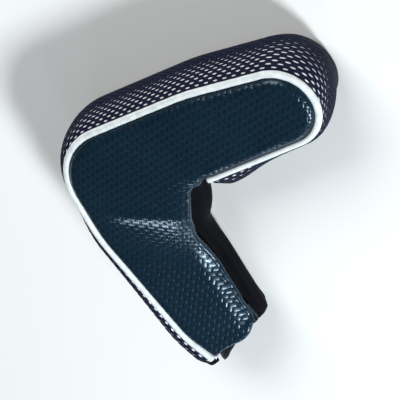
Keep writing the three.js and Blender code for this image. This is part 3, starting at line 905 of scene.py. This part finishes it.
PIPING_SWELL = 0.2  # where it is pulled less tight, from the heel to the mouth
PIPING_SPACING = 0.9  # of its rings
CORD_RADIUS = 1.1
CORD_PAST_END = 0.35  # the cord shows by this much at the piping's cut end
THREAD_RADIUS = 0.26
THREAD_INSET = 1.6  # inward of the piping's middle
THREAD_DEPTH = 2.9  # behind its seam


def tube_along(name, s, plan_offset, z, radius, sides, ripple=None):
    """A round tube along the seam, its centre moved outward by plan_offset."""
    point, _, outward = SEAM.at(s)
    centre = point + outward * plan_offset
    angle = np.linspace(0, 2 * math.pi, sides, endpoint=False)
    size = np.full((len(s), sides), radius)
    if ripple is not None:
        size = size + ripple(s[:, None], angle[None, :])
    reach = size * np.cos(angle)
    rings = np.concatenate([
        centre[:, None] + outward[:, None] * reach[..., None],
        (z + size * np.sin(angle))[..., None],
    ], -1)
    uv = np.stack(np.broadcast_arrays(s[:, None], angle[None, :] * radius), -1)
    return tube_object(name, rings, uv)


def piping_ripple(s, angle):
    """Faint lumps where the piping's cover pulls at its stitches."""
    swell = PIPING_SWELL * smoothstep(s, BLADE_BEND_END, HEEL_END)
    lumps = 0.03 * np.sin(s * 0.9 + np.sin(s * 0.13) * 2) * np.cos(angle - 2.4)
    return swell + lumps + 0.02 * np.sin(s * 0.37)


def thread_ripple(s, angle):
    return 0.05 * np.sin(s * 2.1) * np.cos(angle)


def piped_seam(side, z, end, inward, vinyl):
    """A seam's piping over its cord, and the line of stitches behind it."""
    places = np.linspace(0, end, int(end / PIPING_SPACING))
    tube = tube_along(f"{side}_piping_sleeve", places, 0.0, z, PIPING_RADIUS, 20, piping_ripple)
    finish_piece(tube, vinyl, [f"{side}_piping"])
    places = np.linspace(0.2, end + CORD_PAST_END, 300)
    cord = tube_along(f"{side}_filler_cord", places, 0.0, z, CORD_RADIUS, 10)
    finish_piece(cord, vinyl, [f"{side}_piping_cord"])
    places = np.linspace(0.3, end - 1, 420)
    thread = tube_along(f"{side}_lockstitch", places, -THREAD_INSET, z + inward * THREAD_DEPTH,
                        THREAD_RADIUS, 6, thread_ripple)
    finish_piece(thread, THREAD, [f"{side}_seam_thread"])


piped_seam("front", FRONT_SEAM_Z, SEAM.length, -1, PIPING)
piped_seam("back", BACK_SEAM_Z, GUSSET_END, 1, DARK_PIPING)


# ------------------------------------------------------------------ closure band

BAND_THICKNESS = 2.2
BAND_FOOT = (-2.2, 4.4)  # out from the free edge, and up
BAND_BULGE = 4.8
BAND_SHAPE = [(0.2, 0.28), (0.75, 0.6), (0.65, 0.88)]  # share of the bulge, and of the height
BAND_SWELL = 4.2  # it bellies out by this much more near the inner corner
BAND_SWELL_AT = 29.0
BAND_SWELL_RUN = 11.0
BAND_TOP = 9.4  # below the front's outer face
BAND_TUCK = 13.0  # how far it reaches in under the front
BAND_OVERHANG = 5.0  # past the front's lower end


def smooth_curve(knots, count):
    """Catmull-Rom through knots of shape (rows, knots, 2), sampled evenly in its parameter."""
    before = 2 * knots[:, :1] - knots[:, 1:2]
    after = 2 * knots[:, -1:] - knots[:, -2:-1]
    padded = np.concatenate([before, knots, after], 1)
    t = np.linspace(0, knots.shape[1] - 1, count)
    i = np.minimum(t.astype(int), knots.shape[1] - 2)
    f = (t - i)[None, :, None]
    p0, p1, p2, p3 = (padded[:, i + k] for k in range(4))
    return 0.5 * (2 * p1 + (p2 - p0) * f + (2 * p0 - 5 * p1 + 4 * p2 - p3) * f ** 2
                  + (3 * p1 - p0 - 3 * p2 + p3) * f ** 3)


def closure_band():
    """The fly: a soft ribbon from the back panel's edge, out, up and in under the front."""
    count = 40
    q = np.linspace(0, 1, count)
    places = np.linspace(1.0, EDGE.length, 150)
    point, _, outward = EDGE.at(places)
    tucks = []
    for inset in (1.0, BAND_TUCK / 2, BAND_TUCK):
        spot = point - outward * inset
        tucks.append(np.stack([np.full(len(places), -inset),
                               front_height(spot) - BAND_TOP - BAND_THICKNESS / 2], -1))
    height = tucks[0][:, 1] - BAND_FOOT[1]
    swell = BAND_SWELL * np.exp(-((places - BAND_SWELL_AT) / BAND_SWELL_RUN) ** 2)
    shape = [(BAND_FOOT[0], 0)] + [(BAND_BULGE * out, up) for out, up in BAND_SHAPE]
    rising = [np.stack([out + up * swell, BAND_FOOT[1] + up * height], -1) for out, up in shape]
    centre = smooth_curve(np.stack(rising + tucks, 1), count)
    along = np.gradient(centre, axis=1)
    along /= np.linalg.norm(along, axis=-1, keepdims=True)
    normal = np.stack([along[..., 1], -along[..., 0]], -1)
    edge = np.sqrt((1 - np.abs(2 * q - 1) ** 12).clip(0))
    half = BAND_THICKNESS / 2 * edge[None, :, None]
    outer = centre + normal * half
    inner = (centre - normal * half)[:, ::-1]
    loop = np.concatenate([outer, inner], 1)
    # The lower end is rounded in plan, and both ends are pinched shut.
    progress = np.linspace(0, 1, len(places))[:, None]
    both = np.concatenate([q, q[::-1]])[None, :]
    lower_end = BAND_OVERHANG * (1 - 1.6 * np.abs(2 * both - 0.9) ** 4)
    slide = smoothstep(progress, 0.7, 1.0) * lower_end
    s = places[:, None] + slide
    base, _, out = EDGE.at(s)
    rings = np.concatenate([base + out * loop[..., :1], loop[..., 1:]], -1)
    pinch = np.sqrt(1 - (np.abs(2 * progress - 1) ** 60))[..., None]
    core = (rings[:, :count] + rings[:, count:][:, ::-1]) / 2
    core = np.concatenate([core, core[:, ::-1]], 1)
    rings = core + (rings - core) * pinch
    uv = np.stack(np.broadcast_arrays(places[:, None], both * 34), -1)
    return tube_object("closure_fly", rings, uv)


finish_piece(closure_band(), BAND, ["closure_band_anchor", "closure_band"],
             fold=BAND_FOLD)


# ------------------------------------------------------------------ bound edges of the mouth

GUSSET_HEM_RADIUS = 1.45
GUSSET_HEM_DEPTH = 1.3
BACK_HEM_RADIUS = 2.2
BACK_HEM_RISE = 2.6
BACK_HEM_OUT = 1.2
HEM_POINTS = 60


def binding_along(name, path, radius, node):
    """A soft round binding along a line of points."""
    along = np.gradient(path, axis=0)
    along /= np.linalg.norm(along, axis=1, keepdims=True)
    side = np.cross(along, np.array([*NECK_AXIS, 0.0]))
    side /= np.linalg.norm(side, axis=1, keepdims=True)
    other = np.cross(side, along)
    angle = np.linspace(0, 2 * math.pi, 12, endpoint=False)
    rings = path[:, None] + radius * (side[:, None] * np.cos(angle)[:, None]
                                      + other[:, None] * np.sin(angle)[:, None])
    length = np.concatenate([[0], np.cumsum(np.linalg.norm(np.diff(path, axis=0), axis=1))])
    uv = np.stack(np.broadcast_arrays(length[:, None], angle[None, :] * radius), -1)
    finish_piece(tube_object(name, rings, uv), BAND, [node])


def bind_gusset():
    w = np.linspace(0.02, 0.99, HEM_POINTS)
    path = gusset_points(np.full(HEM_POINTS, GUSSET_END), w, GUSSET_HEM_DEPTH)
    binding_along("gusset_hem", path, GUSSET_HEM_RADIUS, "gusset_mouth_binding")


def bind_back():
    rib = np.array([LAST_RIB])
    across = np.linspace(0.02, 0.9, HEM_POINTS)
    plan = plan_grid(rib, across, SEAM_TUCK, BACK_EDGE_INSET, BACK_OVERHANG)[0]
    path = np.concatenate([plan, (back_height(plan) + BACK_HEM_RISE)[:, None]], 1)
    path[:, :2] += NECK_AXIS * BACK_HEM_OUT
    binding_along("back_hem", path, BACK_HEM_RADIUS, "back_mouth_binding")


bind_gusset()
bind_back()


# ------------------------------------------------------------------ hook-and-loop tapes

TAPE = 1.2  # thickness
TAPE_REACH = (5.5, 13.5)  # from the free edge
TAPE_RUN = (40.0, 96.0)  # along it
HOOK_DEPTH = 6.1  # of each tape's upper face, below the front's outer face
LOOP_DEPTH = 7.6


def tape_sheet(name, depth, pile_height, pile_below, node, fold):
    """A woven tape with its pile, which faces the other tape."""
    inset = np.linspace(*TAPE_REACH, 26)
    places = np.linspace(*TAPE_RUN, 150)
    point, _, outward = EDGE.at(places)
    plan = point[:, None] - outward[:, None] * inset[None, :, None]
    z = front_height(plan) - depth
    pile = pile_height(*np.meshgrid(places, inset, indexing="ij"))
    top = np.concatenate([plan, z[..., None]], -1)
    bottom = np.concatenate([plan, (z - TAPE)[..., None]], -1)
    if pile_below:
        bottom[..., 2] -= pile
    else:
        top[..., 2] += pile
    rings = np.concatenate([top, bottom[:, ::-1]], 1)
    uv = np.concatenate([plan, plan[:, ::-1]], 1)
    tape = tube_object(name, rings, uv)
    finish_piece(tape, TAPE_CLOTH, [node], fold=fold)


def hooks(s, inset):
    """Rows of small blunt hooks."""
    return 0.16 * (np.sin(s * 3.1) * np.sin(inset * 3.1) > 0.2)


def loops(s, inset):
    """An uneven, matted pile."""
    waves = np.sin(s * 2.3 + 2 * np.sin(inset * 1.7))
    return 0.07 * (waves + np.sin(inset * 4.1 + np.sin(s * 1.9)))


def tape_stitches(name, depth, node, fold):
    """One row of stitches round three sides of a tape."""
    near, far = TAPE_REACH[0] + 1, TAPE_REACH[1] - 1
    start, end = TAPE_RUN[0] + 1, TAPE_RUN[1] - 1
    down = np.linspace(end, start, 120)
    over = np.linspace(near, far, 14)[1:-1]
    places = np.concatenate([down, np.full(len(over), start), down[::-1]])
    insets = np.concatenate([np.full(120, near), over, np.full(120, far)])
    point, _, outward = EDGE.at(places)
    plan = point - outward * insets[:, None]
    z = front_height(plan) - depth + 0.12 * np.sin(np.arange(len(places)) * 2.1)
    path = np.concatenate([plan, z[:, None]], 1)
    angle = np.linspace(0, 2 * math.pi, 6, endpoint=False)
    along = np.gradient(path, axis=0)
    along /= np.linalg.norm(along, axis=1, keepdims=True)
    side = np.stack([along[:, 1], -along[:, 0], np.zeros(len(along))], 1)
    section = side[:, None] * np.cos(angle)[:, None] + np.array([0, 0, 1.0]) * np.sin(angle)[:, None]
    rings = path[:, None] + THREAD_RADIUS * section
    run = np.arange(len(path))[:, None] * 0.5
    uv = np.stack(np.broadcast_arrays(run, angle[None, :] * 0.3), -1)
    finish_piece(tube_object(name, rings, uv), THREAD, [node], fold=fold)


tape_sheet("hook_pile", HOOK_DEPTH, hooks, True, "hook_tape", FRONT_FOLD)
tape_sheet("loop_pile", LOOP_DEPTH, loops, False, "loop_tape", BAND_FOLD)
tape_stitches("hook_stitches", HOOK_DEPTH + TAPE / 2, "hook_tape_thread", FRONT_FOLD)
tape_stitches("loop_stitches", LOOP_DEPTH + TAPE / 2, "loop_tape_thread", BAND_FOLD)


# ------------------------------------------------------------------ camera, light and floor

CAMERA_TARGET = in_metres(48, -33, FRONT_SEAM_Z)
CAMERA_TILT = math.radians(42)  # from straight above
CAMERA_HEADING = math.radians(35.5)
CAMERA_BANK = math.radians(64.4)
CAMERA_DISTANCE = 0.9
CAMERA_SHIFT = 2.5 * MM  # to its left
CAMERA_LENS = 162
LIGHT_TARGET = in_metres(50, -40, 20)
FLOOR_HALF = 4.0


def studio():
    """The camera: it looks down at a slant from the toe's side, and is banked."""
    target = Vector(CAMERA_TARGET)
    tilt, heading, bank = CAMERA_TILT, CAMERA_HEADING, CAMERA_BANK
    back = Vector((math.sin(tilt) * math.cos(heading), math.sin(tilt) * math.sin(heading),
                   math.cos(tilt)))
    level = Vector((math.cos(heading), math.sin(heading), 0))
    first = level * math.cos(tilt) - Vector((0, 0, math.sin(tilt)))
    second = back.cross(first)
    right = first * math.cos(bank) - second * math.sin(bank)
    up = first * math.sin(bank) + second * math.cos(bank)
    place = target - right * CAMERA_SHIFT + back * CAMERA_DISTANCE
    data = bpy.data.cameras.new("camera")
    data.sensor_width = 36
    data.lens = CAMERA_LENS
    data.clip_start = 0.05
    data.clip_end = 20
    camera = bpy.data.objects.new("camera", data)
    camera.matrix_world = Matrix((
        (right.x, up.x, back.x, place.x),
        (right.y, up.y, back.y, place.y),
        (right.z, up.z, back.z, place.z),
        (0, 0, 0, 1),
    ))
    bpy.context.scene.collection.objects.link(camera)
    bpy.context.scene.camera = camera


def softbox(name, place, size, watts, colour):
    """A square or oblong area light that faces the cover."""
    data = bpy.data.lights.new(name, "AREA")
    data.shape = "RECTANGLE"
    data.size, data.size_y = size
    data.energy = watts
    data.color = colour
    light = bpy.data.objects.new(name, data)
    light.location = place
    light.rotation_mode = "QUATERNION"
    light.rotation_quaternion = (Vector(LIGHT_TARGET) - Vector(place)).to_track_quat("-Z", "Y")
    bpy.context.scene.collection.objects.link(light)


def stage_set():
    """A pale floor, a faint sky and four lights; the two small low ones stand past the mouth."""
    half = FLOOR_HALF / MM
    corners = [(-half, -half, 0), (half, -half, 0), (half, half, 0), (-half, half, 0)]
    floor = new_object("floor", corners, [(0, 1, 2, 3)])
    floor.data.materials.append(floor_paint())
    world = bpy.data.worlds.new("studio")
    world.use_nodes = True
    sky = world.node_tree.nodes["Background"]
    sky.inputs["Color"].default_value = (0.72, 0.84, 1.0, 1)
    sky.inputs["Strength"].default_value = 0.1
    bpy.context.scene.world = world
    softbox("key", (0.66, -1.17, 0.97), (0.33, 0.33), 32, (0.9, 0.96, 1.0))
    softbox("top", (0.25, 1.4, 1.0), (1.1, 0.8), 25, (1.0, 1.0, 1.0))
    softbox("rim", (-0.98, -1.08, 0.24), (0.24, 0.24), 2.9, (0.7, 0.85, 1.0))
    softbox("kicker", (-0.36, -1.36, 0.46), (0.22, 0.22), 2.4, (0.75, 0.88, 1.0))
    bpy.context.scene.view_settings.view_transform = "Standard"


studio()
stage_set()
